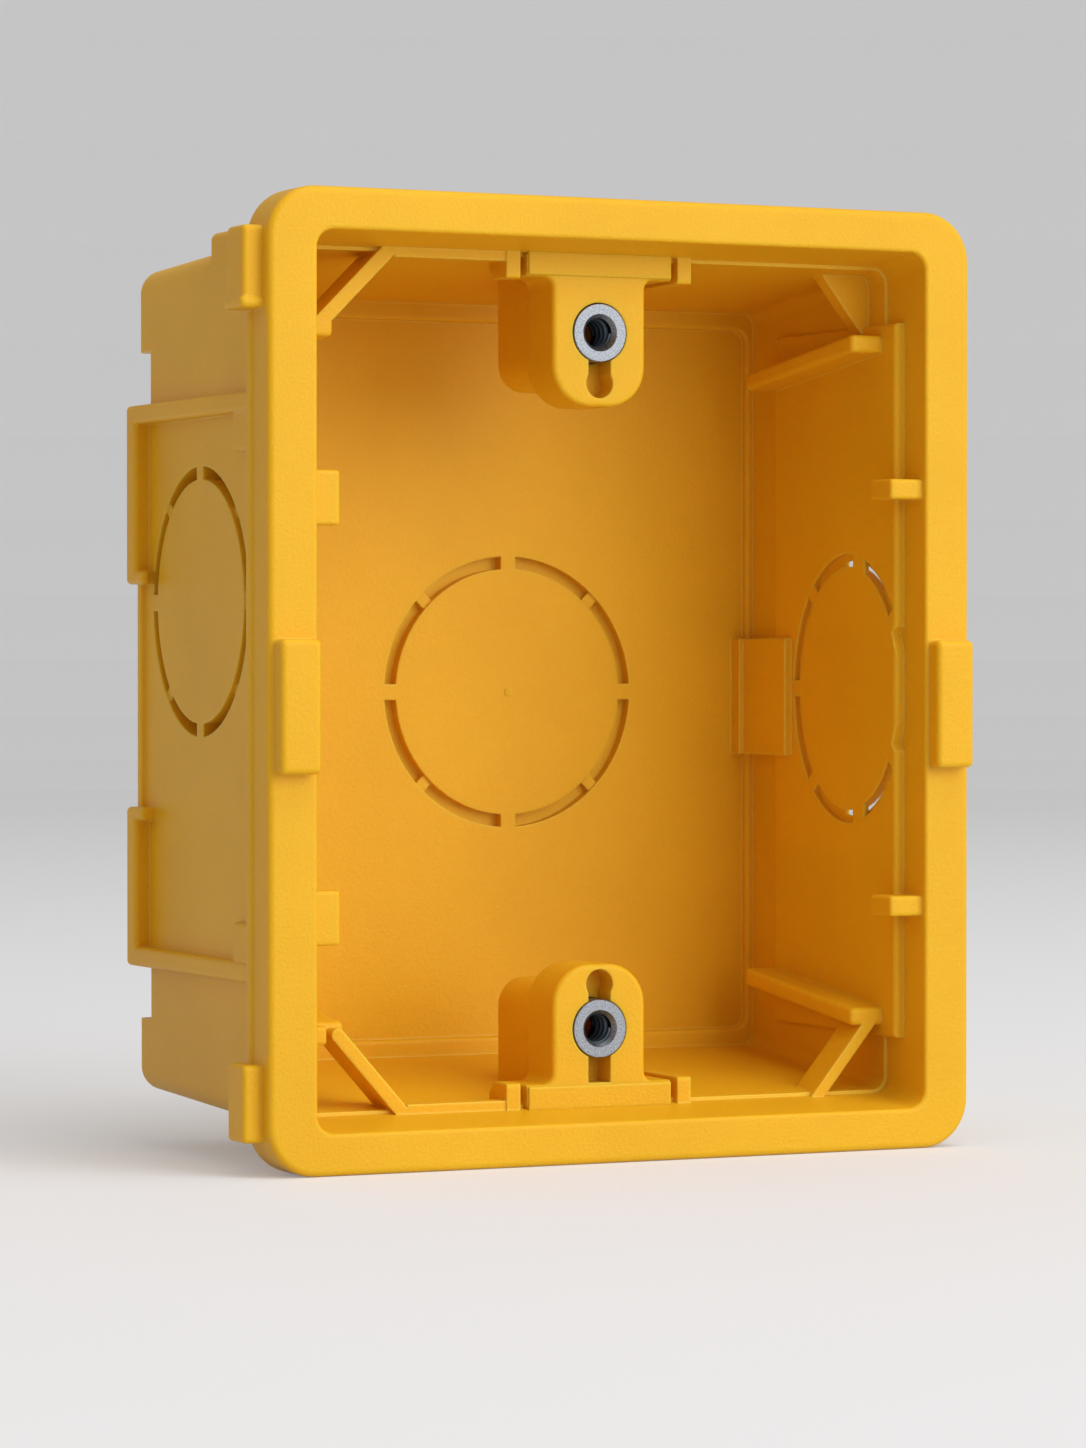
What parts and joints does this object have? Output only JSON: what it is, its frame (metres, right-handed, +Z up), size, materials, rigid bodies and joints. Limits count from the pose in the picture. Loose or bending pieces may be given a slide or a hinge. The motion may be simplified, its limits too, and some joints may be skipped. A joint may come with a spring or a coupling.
{
  "type": "flush back box",
  "caption": "Rectangular flush wall box for wiring accessories, open at the front, with a flat rim, screw lugs with threaded metal inserts and conduit knockouts.",
  "frame": {"origin": "midway between the two screw inserts, on the plane where their threaded bores begin, 0.6 mm behind their front faces", "axes": "+X to the right, +Y into the wall along the screws, +Z up from the lower insert to the upper one"},
  "size_m": [0.0953, 0.0504, 0.1142],
  "materials": {
    "moulded_plastic": "fine grained moulded plastic with soft edges",
    "insert_metal": "turned and plated metal"
  },
  "bodies": {
    "root": {"box_body": "moulded_plastic", "upper_insert": "insert_metal", "lower_insert": "insert_metal"}
  },
  "joints": []
}
